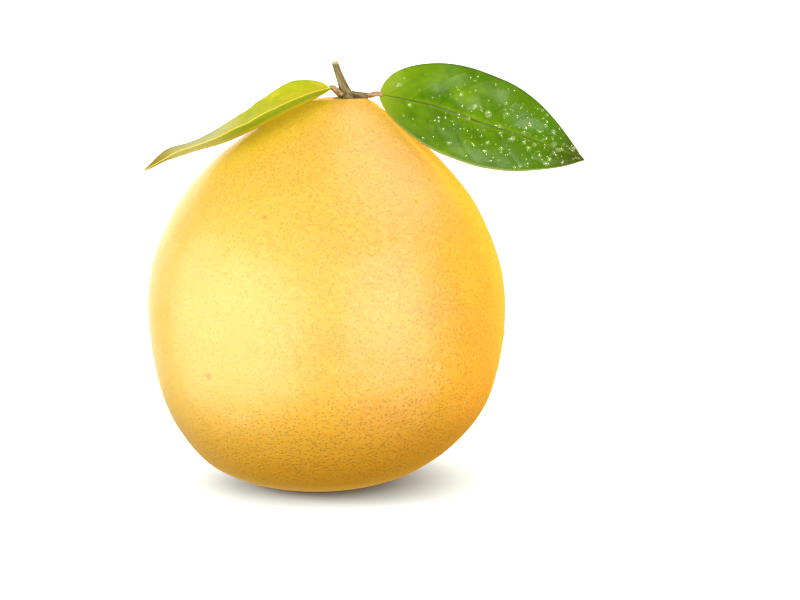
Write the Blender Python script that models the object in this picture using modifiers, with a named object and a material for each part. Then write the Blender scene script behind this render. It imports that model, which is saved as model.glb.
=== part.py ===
"""A pomelo as picked: the fruit, its calyx and cut twig, and two leaves on their petioles.

The origin is the centre of the flat spot that the fruit rests on. +Z is up, and +X points
towards the broad leaf. Every length is in metres and every angle in degrees.
"""

import math

import bmesh
import bpy
from mathutils import Vector

# The fruit: 150 mm across and 163 mm to its crown, a size that honey pomelos commonly reach.
# Each row is a horizontal slice: its radius, its height, and how far its centre leans to +X.
FOOT_RADIUS = 0.0170
FRUIT_SLICES = (
    (0.0000, 0.0000, 0.0000),
    (FOOT_RADIUS, 0.0000, 0.0000),
    (0.0296, 0.0014, 0.0002),
    (0.0450, 0.0078, 0.0011),
    (0.0570, 0.0180, 0.0027),
    (0.0666, 0.0319, 0.0039),
    (0.0725, 0.0490, 0.0046),
    (0.0750, 0.0690, 0.0049),
    (0.0741, 0.0860, 0.0048),
    (0.0701, 0.1020, 0.0046),
    (0.0635, 0.1166, 0.0046),
    (0.0545, 0.1293, 0.0047),
    (0.0418, 0.1420, 0.0048),
    (0.0293, 0.1518, 0.0058),
    (0.0191, 0.1590, 0.0080),
    (0.0137, 0.1618, 0.0096),
    (0.0096, 0.1629, 0.0111),
    (0.0066, 0.1622, 0.0122),
    (0.0036, 0.1611, 0.0127),
    (0.0000, 0.1609, 0.0127),
)
FRUIT_SEGMENTS = 56
RINGS_PER_SLICE = 2
# The fruit isn't quite round: each row is a count of lobes, their depth as a share of the
# radius, and the angle of the first one.
FRUIT_LOBES = ((2, 0.0060, 20.0), (3, 0.0045, 65.0), (5, 0.0030, 200.0))

# The calyx: a woody five-lobed cup seated in the fruit's dimple, as slices like the fruit's.
STEM_X = 0.0127
CALYX_SLICES = (
    (0.0000, 0.16125, STEM_X),
    (0.0034, 0.16150, STEM_X),
    (0.0058, 0.16245, STEM_X),
    (0.0062, 0.16270, STEM_X),
    (0.0052, 0.16290, STEM_X),
    (0.0000, 0.16300, STEM_X),
)
CALYX_SEGMENTS = 40
SEPALS = 5
SEPAL_DEPTH = 0.16

# The twig: a cut stalk and the side shoot that carries the broad leaf. Each row is a point on
# its middle line and its radius there. Pieces that meet end 0.3 to 0.7 mm apart.
TWIG_STALK = (
    ((0.0130, 0.0000, 0.16375), 0.00270),
    ((0.0128, 0.0001, 0.16480), 0.00255),
    ((0.0118, 0.0003, 0.16780), 0.00185),
    ((0.0102, 0.0008, 0.17200), 0.00145),
    ((0.0077, 0.0012, 0.17820), 0.00120),
)
TWIG_SHOOT = (
    ((0.0128, 0.0000, 0.16500), 0.00105),
    ((0.0160, 0.0000, 0.16500), 0.00102),
    ((0.0190, 0.0000, 0.16465), 0.00095),
    ((0.0220, 0.0000, 0.16410), 0.00102),
)
LEFT_PETIOLE = (
    ((0.0095, -0.0014, 0.16520), 0.00115),
    ((0.0084, -0.0015, 0.16640), 0.00100),
    ((0.0071, -0.0015, 0.16775), 0.00095),
)
RIGHT_PETIOLE = (
    ((0.0230, 0.0000, 0.16405), 0.00090),
    ((0.0245, 0.0000, 0.16440), 0.00090),
    ((0.0259, 0.0000, 0.16480), 0.00085),
)
TUBE_SIDES_SETTING = 2
TUBE_RINGS_PER_SPAN = 4

# The leaves: each row is a point on the midrib, how far the blade is rolled about it, and how
# far each half is folded up.
LEAF_THICKNESS = 0.0006
LEAF_ROWS = 26
LEAF_COLUMNS = 8
LEAF_ENDS = (0.004, 0.985)
# A half's outline is its greatest width, the share of the length where that is, and three
# powers that shape its base, its taper and its tip. The far half comes first.
RIGHT_HALVES = ((0.0230, 0.43, 0.60, 2.65, 1.57), (0.0221, 0.38, 0.85, 3.30, 1.30))
LEFT_HALVES = ((0.0190, 0.42, 0.60, 2.20, 1.20), (0.0190, 0.42, 0.60, 2.20, 1.20))
RIGHT_LEAF = (
    ((0.0265, 0.0000, 0.1646), 54.0, 5.0),
    ((0.0480, -0.0003, 0.1600), 54.0, 5.0),
    ((0.0690, -0.0013, 0.1528), 54.0, 5.0),
    ((0.0910, -0.0030, 0.1456), 53.0, 5.0),
    ((0.1124, -0.0054, 0.1376), 50.0, 6.0),
)
LEFT_LEAF = (
    ((0.0060, -0.0019, 0.1674), 13.0, 28.0),
    ((-0.0004, -0.0063, 0.1637), 10.0, 31.0),
    ((-0.0080, -0.0089, 0.1602), 7.0, 25.0),
    ((-0.0157, -0.0099, 0.1562), 8.0, 21.0),
    ((-0.0235, -0.0095, 0.1521), 10.0, 19.0),
    ((-0.0313, -0.0083, 0.1483), 9.0, 17.0),
    ((-0.0394, -0.0071, 0.1451), 7.0, 15.0),
    ((-0.0477, -0.0061, 0.1425), 5.0, 13.0),
    ((-0.0561, -0.0053, 0.1401), 5.0, 13.0),
    ((-0.0643, -0.0049, 0.1370), 15.0, 20.0),
    ((-0.0722, -0.0046, 0.1331), 8.0, 14.0),
)


def clear_scene():
    for obj in list(bpy.data.objects):
        bpy.data.objects.remove(obj)


def new_collection(name):
    collection = bpy.data.collections.new(name)
    bpy.context.scene.collection.children.link(collection)
    return collection


def plain_material(name, colour, roughness):
    """A Principled BSDF of one linear colour. Nothing on a fruit is metallic."""
    material = bpy.data.materials.new(name)
    material.use_nodes = True
    shader = material.node_tree.nodes["Principled BSDF"]
    shader.inputs["Base Color"].default_value = (*colour, 1.0)
    shader.inputs["Roughness"].default_value = roughness
    shader.inputs["Metallic"].default_value = 0.0
    return material


def along(rows, share):
    """The row at a share of the way along, on a smooth curve through all the rows.

    It is a Catmull-Rom curve, and a row is a flat tuple of numbers of any length.
    """
    place = min(max(share, 0.0), 1.0) * (len(rows) - 1)
    span = min(int(place), len(rows) - 2)
    t = place - span
    before, start, end, after = (
        rows[min(max(span + step, 0), len(rows) - 1)] for step in (-1, 0, 1, 2)
    )
    return tuple(
        0.5
        * (
            2 * b
            + (c - a) * t
            + (2 * a - 5 * b + 4 * c - d) * t**2
            + (3 * b - a - 3 * c + d) * t**3
        )
        for a, b, c, d in zip(before, start, end, after)
    )


def object_from_bmesh(bm, name, collection, material):
    """Links the finished bmesh as one smooth-shaded object with its faces pointing out."""
    bmesh.ops.recalc_face_normals(bm, faces=bm.faces)
    mesh = bpy.data.meshes.new(name)
    bm.to_mesh(mesh)
    bm.free()
    mesh.shade_smooth()
    mesh.set_sharp_from_angle(angle=math.radians(40.0))
    obj = bpy.data.objects.new(name, mesh)
    obj.data.materials.append(material)
    collection.objects.link(obj)
    return obj


def sliced_ball(slices, segments, swell):
    """A closed bmesh that starts as a UV sphere, with its rings moved onto smooth slices.

    swell(angle, share) multiplies the radius, for a slice that isn't quite round.
    """
    bm = bmesh.new()
    rings = RINGS_PER_SLICE * (len(slices) - 1)
    bmesh.ops.create_uvsphere(bm, u_segments=segments, v_segments=rings, radius=1.0)
    for vert in bm.verts:
        angle = math.atan2(vert.co.y, vert.co.x)
        share = 1.0 - math.acos(max(-1.0, min(1.0, vert.co.z))) / math.pi
        radius, height, lean = along(slices, share)
        reach = radius * swell(angle, share)
        # The curve through the slices dips a hair below the foot, which is flat.
        vert.co = (lean + reach * math.cos(angle), reach * math.sin(angle), max(height, 0.0))
    return bm


def fruit_swell(angle, share):
    """The fruit's faint lobes, which fade out at the foot and the crown."""
    fade = math.sin(math.pi * share)
    return 1.0 + fade * sum(
        depth * math.cos(count * (angle - math.radians(first)))
        for count, depth, first in FRUIT_LOBES
    )


def calyx_swell(angle, share):
    """The calyx's blunt sepals."""
    return 1.0 - SEPAL_DEPTH * (0.5 - 0.5 * math.cos(SEPALS * angle))


def make_fruit(collection):
    """The whole fruit, which grew in one piece. Its foot is flat."""
    skin = plain_material("pomelo_skin", (0.95, 0.62, 0.14), 0.42)
    ball = sliced_ball(FRUIT_SLICES, FRUIT_SEGMENTS, fruit_swell)
    return object_from_bmesh(ball, "pomelo_fruit", collection, skin)


def make_calyx(collection):
    """The woody cup at the stem end."""
    bark = plain_material("calyx_green_brown", (0.18, 0.15, 0.05), 0.75)
    ball = sliced_ball(CALYX_SLICES, CALYX_SEGMENTS, calyx_swell)
    return object_from_bmesh(ball, "calyx", collection, bark)


def make_tube(name, rows, collection, material):
    """A tapering round stalk along its rows, as one closed mesh with flat ends."""
    curve = bpy.data.curves.new(name + "_line", "CURVE")
    curve.dimensions = "3D"
    curve.bevel_depth = 1.0
    curve.bevel_resolution = TUBE_SIDES_SETTING
    curve.use_fill_caps = True
    steps = TUBE_RINGS_PER_SPAN * (len(rows) - 1)
    flat_rows = [(*point, radius) for point, radius in rows]
    spline = curve.splines.new("POLY")
    spline.points.add(steps)
    for step, point in enumerate(spline.points):
        x, y, z, radius = along(flat_rows, step / steps)
        point.co = (x, y, z, 1.0)
        point.radius = radius
    guide = bpy.data.objects.new(name + "_line", curve)
    collection.objects.link(guide)
    bpy.context.view_layer.update()
    evaluated = guide.evaluated_get(bpy.context.evaluated_depsgraph_get())
    bm = bmesh.new()
    bm.from_mesh(bpy.data.meshes.new_from_object(evaluated))
    bmesh.ops.remove_doubles(bm, verts=bm.verts, dist=0.00001)
    tube = object_from_bmesh(bm, name, collection, material)
    tube.matrix_world = guide.matrix_world
    bpy.data.objects.remove(guide)
    return tube


def make_twig(collection, helpers):
    """The cut stalk with its side shoot: they grew as one, so they are joined into one solid."""
    bark = plain_material("twig_bark", (0.22, 0.19, 0.06), 0.7)
    stalk = make_tube("twig", TWIG_STALK, collection, bark)
    shoot = make_tube("twig_shoot", TWIG_SHOOT, helpers, bark)
    shoot.hide_render = True
    shoot.display_type = "WIRE"
    join = stalk.modifiers.new("join_shoot", "BOOLEAN")
    join.operation = "UNION"
    join.solver = "EXACT"
    join.object = shoot
    return stalk


def make_petioles(collection):
    """The short leaf stalks, each jointed to the twig at one end and to its blade at the other."""
    green = plain_material("petiole_green", (0.35, 0.36, 0.08), 0.55)
    for name, rows in (("left_petiole", LEFT_PETIOLE), ("right_petiole", RIGHT_PETIOLE)):
        make_tube(name, rows, collection, green)


def half_width(half, share):
    """A half blade's width at a share of its length: a rounded base and a drawn-out tip."""
    widest, widest_at, base, taper, tip = half
    if share < widest_at:
        return widest * (1.0 - (1.0 - share / widest_at) ** 2) ** base
    return widest * (1.0 - ((share - widest_at) / (1.0 - widest_at)) ** taper) ** tip


def blade_point(rows, halves, share, side):
    """A point of the blade: share runs from base to tip, and side from -1 to 1 across it."""
    x, y, z, roll, fold = along(rows, share)
    step = 0.01
    ahead = Vector(along(rows, share + step)[:3])
    behind = Vector(along(rows, share - step)[:3])
    forward = (ahead - behind).normalized()
    level = forward.cross(Vector((0.0, 0.0, 1.0))).normalized()
    if level.y < 0:
        level = -level
    upright = forward.cross(level).normalized()
    if upright.z < 0:
        upright = -upright
    turn = math.radians(roll)
    across = level * math.cos(turn) + upright * math.sin(turn)
    normal = upright * math.cos(turn) - level * math.sin(turn)
    far_half, near_half = halves
    reach = side * half_width(far_half if side > 0 else near_half, share)
    lift = math.radians(fold)
    middle = Vector((x, y, z))
    return middle + across * reach * math.cos(lift) + normal * abs(reach) * math.sin(lift)


def make_blade(name, rows, halves, collection, material):
    """A leaf blade: a flat grid laid along the midrib and folded on it, then given thickness."""
    flat_rows = [(*point, roll, fold) for point, roll, fold in rows]
    start, end = LEAF_ENDS
    bm = bmesh.new()
    bmesh.ops.create_grid(bm, x_segments=LEAF_ROWS, y_segments=LEAF_COLUMNS, size=1.0)
    for vert in bm.verts:
        # The rows crowd together at both ends, where the outline turns fastest.
        share = start + (end - start) * 0.5 * (1.0 - math.cos(math.pi * (vert.co.x + 1.0) / 2.0))
        vert.co = blade_point(flat_rows, halves, share, vert.co.y)
    blade = object_from_bmesh(bm, name, collection, material)
    shell = blade.modifiers.new("thickness", "SOLIDIFY")
    shell.thickness = LEAF_THICKNESS
    shell.offset = 0.0
    return blade


def make_leaves(collection):
    green = plain_material("leaf_green", (0.16, 0.36, 0.02), 0.3)
    yellow_green = plain_material("leaf_yellow_green", (0.42, 0.48, 0.03), 0.35)
    make_blade("right_leaf_blade", RIGHT_LEAF, RIGHT_HALVES, collection, green)
    make_blade("left_leaf_blade", LEFT_LEAF, LEFT_HALVES, collection, yellow_green)


def main():
    clear_scene()
    pomelo = new_collection("pomelo")
    helpers = new_collection("helpers")
    make_fruit(pomelo)
    make_calyx(pomelo)
    make_twig(pomelo, helpers)
    make_petioles(pomelo)
    make_leaves(pomelo)


main()
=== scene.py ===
"""A pomelo as picked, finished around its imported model: peel, calyx, twig, leaves and dew.

Lengths are in metres, +Z is up and +X points towards the broad leaf.
"""

import math
import random

import bmesh
import bpy
from mathutils import Matrix, Vector, noise
from mathutils.bvhtree import BVHTree


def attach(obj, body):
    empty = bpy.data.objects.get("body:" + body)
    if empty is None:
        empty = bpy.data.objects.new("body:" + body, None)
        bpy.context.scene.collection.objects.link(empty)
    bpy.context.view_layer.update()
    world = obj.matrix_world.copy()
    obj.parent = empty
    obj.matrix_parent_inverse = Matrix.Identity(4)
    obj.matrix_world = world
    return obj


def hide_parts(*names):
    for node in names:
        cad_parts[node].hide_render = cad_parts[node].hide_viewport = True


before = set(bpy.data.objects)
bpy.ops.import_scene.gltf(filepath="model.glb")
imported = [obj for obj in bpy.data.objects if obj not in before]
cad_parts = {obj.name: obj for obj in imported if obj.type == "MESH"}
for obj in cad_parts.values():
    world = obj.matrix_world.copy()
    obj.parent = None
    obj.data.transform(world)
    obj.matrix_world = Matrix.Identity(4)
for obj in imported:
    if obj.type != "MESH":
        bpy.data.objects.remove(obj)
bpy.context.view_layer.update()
scene = bpy.context.scene

# ---------------------------------------------------------------------------------------
# The peel. A pomelo's thick rind grows as one piece: a tough yellow skin set with oil
# glands, over white pith. It has no seam, only the stem's dimple above and the faint scar
# below where the flower's style fell off.
# ---------------------------------------------------------------------------------------
MM = 0.001
FOOT_RADIUS = 0.0170
# Each slice is its radius, its height, and how far its centre leans to +X.
PEEL_SLICES = (
    (0.0000, 0.0000, 0.0000),
    (FOOT_RADIUS, 0.0000, 0.0000),
    (0.0296, 0.0014, 0.0002),
    (0.0450, 0.0078, 0.0011),
    (0.0570, 0.0180, 0.0027),
    (0.0666, 0.0319, 0.0039),
    (0.0725, 0.0490, 0.0046),
    (0.0750, 0.0690, 0.0049),
    (0.0741, 0.0860, 0.0048),
    (0.0701, 0.1020, 0.0046),
    (0.0635, 0.1166, 0.0046),
    (0.0545, 0.1293, 0.0047),
    (0.0418, 0.1420, 0.0048),
    (0.0293, 0.1518, 0.0058),
    (0.0191, 0.1590, 0.0080),
    (0.0137, 0.1618, 0.0096),
    (0.0096, 0.1629, 0.0111),
    (0.0066, 0.1622, 0.0122),
    (0.0036, 0.1611, 0.0127),
    (0.0000, 0.1609, 0.0127),
)
# Lobes: their count, their depth as a share of the radius, and the first one's angle.
PEEL_LOBES = ((2, 0.0060, 20.0), (3, 0.0045, 65.0), (5, 0.0030, 200.0))
PEEL_CUTS = 123
SKIN_MIDDLE = Vector((0.0040, 0.0, 0.0800))
# Dents and swellings in the skin: their size across and their depth.
SKIN_WAVES = ((0.034, 0.00045), (0.014, 0.00022), (0.0062, 0.00009))
# The foot and the crown's edge keep their form: the waves fade in over these heights.
FOOT_FADE = 0.012
CROWN_FADE = 0.010
CROWN_TOP = 0.1640
SCAR_RADIUS = 0.0034
SCAR_DEPTH = 0.0006
FOOT_HEIGHT = 0.001
# The mesh's rows are spaced partly by distance over the skin and partly by angle.
BY_DISTANCE, BY_ANGLE = 0.7, 0.3


def along(rows, share):
    """The row at a share of the way along, on a smooth curve through all the rows."""
    place = min(max(share, 0.0), 1.0) * (len(rows) - 1)
    span = min(int(place), len(rows) - 2)
    t = place - span
    before, start, end, after = (
        rows[min(max(span + step, 0), len(rows) - 1)] for step in (-1, 0, 1, 2)
    )
    return tuple(
        0.5
        * (
            2 * b
            + (c - a) * t
            + (2 * a - 5 * b + 4 * c - d) * t**2
            + (3 * b - a - 3 * c + d) * t**3
        )
        for a, b, c, d in zip(before, start, end, after)
    )


def smooth(low, high, value):
    """0 below low, 1 above high, and an easy rise between them."""
    t = min(max((value - low) / (high - low), 0.0), 1.0)
    return t * t * (3.0 - 2.0 * t)


def even_shares(rows, count):
    """Shares along the rows that are even steps of the distance walked."""
    points = [along(rows, step / count) for step in range(count + 1)]
    walked = [0.0]
    for a, b in zip(points, points[1:]):
        walked.append(walked[-1] + math.hypot(b[0] - a[0], b[1] - a[1]) + 1e-7)
    return [length / walked[-1] for length in walked]


def skin_point(slices, lobes, angle, share):
    """A point of a round grown shape that its slices and lobes give."""
    radius, height, lean = along(slices, share)
    fade = math.sin(math.pi * share)
    swell = 1.0 + fade * sum(
        depth * math.cos(count * (angle - math.radians(first))) for count, depth, first in lobes
    )
    reach = radius * swell
    return Vector((lean + reach * math.cos(angle), reach * math.sin(angle), max(height, 0.0)))


def linear(code):
    """An sRGB hex colour as linear RGBA."""
    parts = [int(code[i : i + 2], 16) / 255.0 for i in (1, 3, 5)]
    return (*(c / 12.92 if c <= 0.04045 else ((c + 0.055) / 1.055) ** 2.4 for c in parts), 1.0)


def add(tree, kind, values=None, links=None, **settings):
    """Adds one node with its settings, its inputs' values, and the sockets that feed it."""
    made = tree.nodes.new("ShaderNode" + kind)
    for name, value in settings.items():
        setattr(made, name, value)
    for name, value in (values or {}).items():
        made.inputs[name].default_value = value
    for name, socket in (links or {}).items():
        tree.links.new(socket, made.inputs[name])
    return made


def new_material(name, finish):
    """A material, its node tree, and its shader with what is the same all over the surface."""
    material = bpy.data.materials.new(name)
    material.use_nodes = True
    shader = material.node_tree.nodes["Principled BSDF"]
    for socket, value in finish.items():
        shader.inputs[socket].default_value = value
    return material, material.node_tree, shader


pomelo = bpy.data.collections.new("pomelo")


def finish_piece(bm, name, material, slot, *nodes):
    """Makes the bmesh a smooth piece that rides on the root and stands for its CAD nodes."""
    mesh = bpy.data.meshes.new(name)
    bm.to_mesh(mesh)
    bm.free()
    mesh.shade_smooth()
    mesh.materials.append(material)
    piece = bpy.data.objects.new(name, mesh)
    scene.collection.objects.link(piece)
    pomelo.objects.link(piece)
    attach(piece, "root")
    if nodes:
        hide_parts(*nodes)
    return piece


peel_walk = even_shares(PEEL_SLICES, 400)


def share_at(walk):
    """The share of the slices at a share of the distance walked over them."""
    low, high = 0, len(peel_walk) - 1
    while high - low > 1:
        middle = (low + high) // 2
        low, high = (middle, high) if peel_walk[middle] <= walk else (low, middle)
    part = (walk - peel_walk[low]) / (peel_walk[high] - peel_walk[low])
    return (low + part) / (len(peel_walk) - 1)


peel = bmesh.new()
bmesh.ops.create_cube(peel, size=2.0)
bmesh.ops.subdivide_edges(peel, edges=peel.edges[:], cuts=PEEL_CUTS, use_grid_fill=True)
for vert in peel.verts:
    # Equal angles between the rows keep the faces alike over the whole ball.
    way = Vector([math.tan(part * math.pi / 4.0) for part in vert.co]).normalized()
    angle = math.atan2(way.y, way.x)
    polar = 1.0 - math.acos(max(-1.0, min(1.0, way.z))) / math.pi
    share = BY_DISTANCE * share_at(polar) + BY_ANGLE * polar
    spot = skin_point(PEEL_SLICES, PEEL_LOBES, angle, share)
    outward = (spot - SKIN_MIDDLE).normalized()
    free = smooth(0.0, FOOT_FADE, spot.z) * smooth(0.0, CROWN_FADE, CROWN_TOP - spot.z)
    for size, depth in SKIN_WAVES:
        spot += outward * free * depth * noise.noise(spot / size)
    if spot.z < FOOT_HEIGHT:
        from_scar = math.hypot(spot.x, spot.y)
        spot.z += SCAR_DEPTH * (1.0 - smooth(0.5 * SCAR_RADIUS, 1.6 * SCAR_RADIUS, from_scar))
    vert.co = spot
bmesh.ops.recalc_face_normals(peel, faces=peel.faces)
peel_surface = BVHTree.FromBMesh(peel)

# Waxed citrus rind, as grown: a satin skin over bright pith, so light sinks a few millimetres
# into it. Its oil glands are fine pits, darker than the skin between them. They stand about
# 1 mm apart, and are drawn a little coarser so that they show.
GLAND_SPACING = 1.4 * MM
CLOUD_SIZE = 30.0 * MM
MOTTLE_SIZE = 1.7 * MM
MARK_SPACING = 21.0 * MM
GRAIN_SIZE = 1.1 * MM
GOLD_HEIGHT = 0.056
rind, tree, shader = new_material(
    "waxy_pomelo_rind",
    {
        "IOR": 1.46,
        "Specular IOR Level": 0.4,
        "Subsurface Weight": 0.20,
        "Subsurface Radius": (1.0, 0.45, 0.12),
        "Subsurface Scale": 3.0 * MM,
        # The wax is a coat of its own, and lays a pale haze over the colour.
        "Coat Weight": 1.0,
        "Coat Roughness": 0.40,
        "Coat IOR": 1.88,
        # Its bloom catches light at the edges.
        "Sheen Weight": 0.50,
        "Sheen Roughness": 0.45,
        "Sheen Tint": linear("#FFD23C"),
    },
)
place = add(tree, "TexCoord").outputs["Object"]
axes = add(tree, "SeparateXYZ", links={0: place})
# Lemon yellow towards -X and orange towards +X, with a little noise in the edge between them.
side_noise = add(tree, "TexNoise", {"Scale": 14.0, "Detail": 2.0}, {"Vector": place})
side_shift = add(
    tree,
    "Math",
    {1: 0.05},
    {0: side_noise.outputs[0], 2: axes.outputs["X"]},
    operation="MULTIPLY_ADD",
)
orange_side = add(
    tree,
    "MapRange",
    {"From Min": -0.045, "From Max": 0.105},
    {"Value": side_shift.outputs[0]},
    interpolation_type="SMOOTHSTEP",
)
ground = add(
    tree,
    "Mix",
    {6: linear("#F0C525"), 7: linear("#EEAA2C")},
    {0: orange_side.outputs[0]},
    data_type="RGBA",
)
# Cloudy patches a few centimetres across, and finer mottling between the glands.
cloud_noise = add(
    tree,
    "TexNoise",
    {"Scale": 1.0 / CLOUD_SIZE, "Detail": 3.0, "Roughness": 0.6},
    {"Vector": place},
)
cloud = add(
    tree,
    "MapRange",
    {"From Min": 0.44, "From Max": 0.60, "To Max": 0.60},
    {"Value": cloud_noise.outputs[0]},
)
clouded = add(
    tree,
    "Mix",
    {7: linear("#F1BE0A")},
    {0: cloud.outputs[0], 6: ground.outputs[2]},
    data_type="RGBA",
)
mottle_noise = add(
    tree,
    "TexNoise",
    {"Scale": 1.0 / MOTTLE_SIZE, "Detail": 3.0, "Roughness": 0.7},
    {"Vector": place},
)
mottle = add(
    tree,
    "MapRange",
    {"From Min": 0.44, "From Max": 0.62, "To Max": 0.50},
    {"Value": mottle_noise.outputs[0]},
)
mottled = add(
    tree,
    "Mix",
    {7: linear("#F3CD62")},
    {0: mottle.outputs[0], 6: clouded.outputs[2]},
    data_type="RGBA",
)
# Deeper, darker gold towards the foot: partly the fruit's own tone, mostly painted shade.
low_down = add(
    tree,
    "MapRange",
    {"From Min": GOLD_HEIGHT, "From Max": 0.0},
    {"Value": axes.outputs["Z"]},
    interpolation_type="SMOOTHSTEP",
)
foot_shade = add(
    tree,
    "Mix",
    {7: linear("#D09204")},
    {0: low_down.outputs[0], 6: mottled.outputs[2]},
    data_type="RGBA",
)
# The glands show most on the orange side and low down.
glands = add(
    tree, "TexVoronoi", {"Scale": 1.0 / GLAND_SPACING, "Randomness": 0.85}, {"Vector": place}
)
gland_spot = add(
    tree,
    "MapRange",
    {"From Min": 0.47, "From Max": 0.10},
    {"Value": glands.outputs["Distance"]},
    interpolation_type="SMOOTHSTEP",
)
gland_depth = add(tree, "MapRange", {"To Min": 0.24, "To Max": 0.50}, {"Value": orange_side.outputs[0]})
deeper_low = add(
    tree,
    "Math",
    {1: 0.06},
    {0: low_down.outputs[0], 2: gland_depth.outputs[0]},
    operation="MULTIPLY_ADD",
)
gland_tint = add(
    tree, "Math", links={0: gland_spot.outputs[0], 1: deeper_low.outputs[0]}, operation="MULTIPLY"
)
dotted = add(
    tree,
    "Mix",
    {7: linear("#9E6C10")},
    {0: gland_tint.outputs[0], 6: foot_shade.outputs[2]},
    data_type="RGBA",
)
# A few small russet marks, as branches leave on a growing fruit.
marks = add(tree, "TexVoronoi", {"Scale": 1.0 / MARK_SPACING}, {"Vector": place})
mark_size = add(
    tree,
    "MapRange",
    {"From Min": 0.085, "From Max": 0.03, "To Max": 0.7},
    {"Value": marks.outputs["Distance"]},
    interpolation_type="SMOOTHSTEP",
)
marked = add(
    tree,
    "Mix",
    {7: linear("#C97A16")},
    {0: mark_size.outputs[0], 6: dotted.outputs[2]},
    data_type="RGBA",
)
# The scar under the foot is dry brown cork.
to_scar = add(tree, "VectorMath", {1: (0.0, 0.0, 0.0)}, {0: place}, operation="DISTANCE")
scar = add(
    tree,
    "MapRange",
    {"From Min": 1.5 * SCAR_RADIUS, "From Max": 0.8 * SCAR_RADIUS, "To Max": 0.9},
    {"Value": to_scar.outputs["Value"]},
    interpolation_type="SMOOTHSTEP",
)
scarred = add(
    tree,
    "Mix",
    {7: linear("#7A5526")},
    {0: scar.outputs[0], 6: marked.outputs[2]},
    data_type="RGBA",
)
tree.links.new(scarred.outputs[2], shader.inputs["Base Color"])
# The wax lies a little thicker on some patches than on others.
wax = add(
    tree,
    "MapRange",
    {"From Min": 0.35, "From Max": 0.65, "To Min": 0.36, "To Max": 0.48},
    {"Value": cloud_noise.outputs[0]},
)
tree.links.new(wax.outputs[0], shader.inputs["Roughness"])
# Relief: the glands' pits, and skin between them that is never quite smooth.
grain_noise = add(tree, "TexNoise", {"Scale": 1.0 / GRAIN_SIZE, "Detail": 2.0}, {"Vector": place})
grain_relief = add(tree, "Math", {1: 0.35}, {0: grain_noise.outputs[0]}, operation="MULTIPLY")
pitted = add(
    tree,
    "Math",
    links={0: grain_relief.outputs[0], 1: gland_spot.outputs[0]},
    operation="SUBTRACT",
)
# The pits are deepest round the foot.
coarser = add(tree, "Math", {1: 2.2, 2: 1.0}, {0: low_down.outputs[0]}, operation="MULTIPLY_ADD")
skin_relief = add(
    tree, "Math", links={0: pitted.outputs[0], 1: coarser.outputs[0]}, operation="MULTIPLY"
)
bump = add(
    tree, "Bump", {"Strength": 0.7, "Distance": 0.22 * MM}, {"Height": skin_relief.outputs[0]}
)
tree.links.new(bump.outputs[0], shader.inputs["Normal"])

fruit = finish_piece(peel, "peel", rind, "skin", "pomelo_fruit")

# ---------------------------------------------------------------------------------------
# The calyx. The flower's cup stays on as a dry woody star of five blunt sepals, seated in
# the dimple, and the fruit hangs from it.
# ---------------------------------------------------------------------------------------
# The stem stands off the fruit's middle, over the dimple.
STEM_X = 0.0127
CALYX_SLICES = (
    (0.0000, 0.16125, STEM_X),
    (0.0034, 0.16150, STEM_X),
    (0.0058, 0.16245, STEM_X),
    (0.0062, 0.16270, STEM_X),
    (0.0052, 0.16290, STEM_X),
    (0.0000, 0.16300, STEM_X),
)
SEPALS = 5
# How deep the notches between the sepals are, as a share of the star's reach.
SEPAL_NOTCH = 0.16
SEPAL_KEEL = 0.00018
SEPAL_DIP = 0.00016
SEPAL_WRINKLE = 0.00010
# The heights and the reaches over which the keels and the wrinkles grow in.
UPPER_FACE = (0.16230, 0.16280)
OUTER_PART = (0.0020, 0.0058)
CALYX_RINGS = 60
CALYX_SEGMENTS = 120
CALYX_MIDDLE = (STEM_X, 0.0, 0.1628)
# The reaches over which the painted shade at the stalk's foot fades out.
CREVICE_SHADE_REACH = (0.0046, 0.0026)

calyx = bmesh.new()
bmesh.ops.create_uvsphere(calyx, u_segments=CALYX_SEGMENTS, v_segments=CALYX_RINGS, radius=1.0)
for vert in calyx.verts:
    angle = math.atan2(vert.co.y, vert.co.x)
    share = 1.0 - math.acos(max(-1.0, min(1.0, vert.co.z))) / math.pi
    spot = skin_point(CALYX_SLICES, (), angle, share)
    from_middle = Vector((spot.x - STEM_X, spot.y, 0.0))
    lobe = 0.5 + 0.5 * math.cos(SEPALS * angle)
    from_middle *= 1.0 - SEPAL_NOTCH * (1.0 - lobe)
    reach = from_middle.length
    top = smooth(*UPPER_FACE, spot.z)
    spot.x, spot.y = STEM_X + from_middle.x, from_middle.y
    # Each sepal has a keel down its middle, a dip at each side of it, and fine wrinkles.
    out = smooth(*OUTER_PART, reach)
    spot.z += top * out * (SEPAL_KEEL * lobe**3 - SEPAL_DIP * (1.0 - lobe) ** 2)
    wrinkle = noise.noise(Vector((9.0 * math.cos(angle), 9.0 * math.sin(angle), 400.0 * reach)))
    spot.z += top * SEPAL_WRINKLE * out * wrinkle
    vert.co = spot
bmesh.ops.recalc_face_normals(calyx, faces=calyx.faces)

# Dry calyx tissue: dull, fibrous, straw-coloured wood with no gloss.
FIBRE_WIDTH = 0.7 * MM
wood, tree, shader = new_material("dry_calyx_wood", {"Roughness": 0.75})
place = add(tree, "TexCoord").outputs["Object"]
fibre_noise = add(
    tree,
    "TexNoise",
    {"Scale": 1.0 / FIBRE_WIDTH, "Detail": 4.0, "Roughness": 0.7},
    {"Vector": place},
)
fibre = add(
    tree, "MapRange", {"From Min": 0.35, "From Max": 0.65}, {"Value": fibre_noise.outputs[0]}
)
fibre_colour = add(
    tree,
    "Mix",
    {6: linear("#B29A3C"), 7: linear("#E0C568")},
    {0: fibre.outputs[0]},
    data_type="RGBA",
)
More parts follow.
